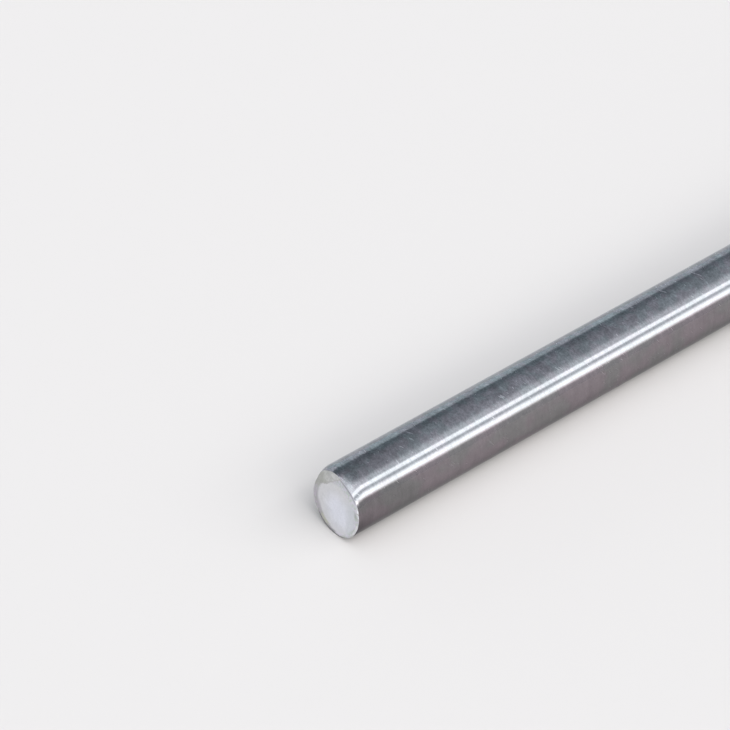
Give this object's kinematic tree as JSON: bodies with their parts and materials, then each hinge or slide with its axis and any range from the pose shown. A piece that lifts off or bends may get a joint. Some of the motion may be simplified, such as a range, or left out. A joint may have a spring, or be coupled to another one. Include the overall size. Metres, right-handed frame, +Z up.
{
  "type": "round metal bar",
  "caption": "Solid round bar of bright ground steel with cropped, bevelled ends, lying on its side: stock for shafts, pins, rails and turned parts.",
  "frame": {"origin": "on the surface that the bar lies on, straight under the middle of its axis", "axes": "+X along the bar, away from the end shown in front; +Y to the back; +Z up"},
  "size_m": [0.5008, 0.02, 0.02],
  "materials": {
    "ground_steel": "bright centreless ground skin with fine lines round the bar, pale satin cropped ends"
  },
  "bodies": {
    "root": {"bar": "ground_steel"}
  },
  "joints": []
}
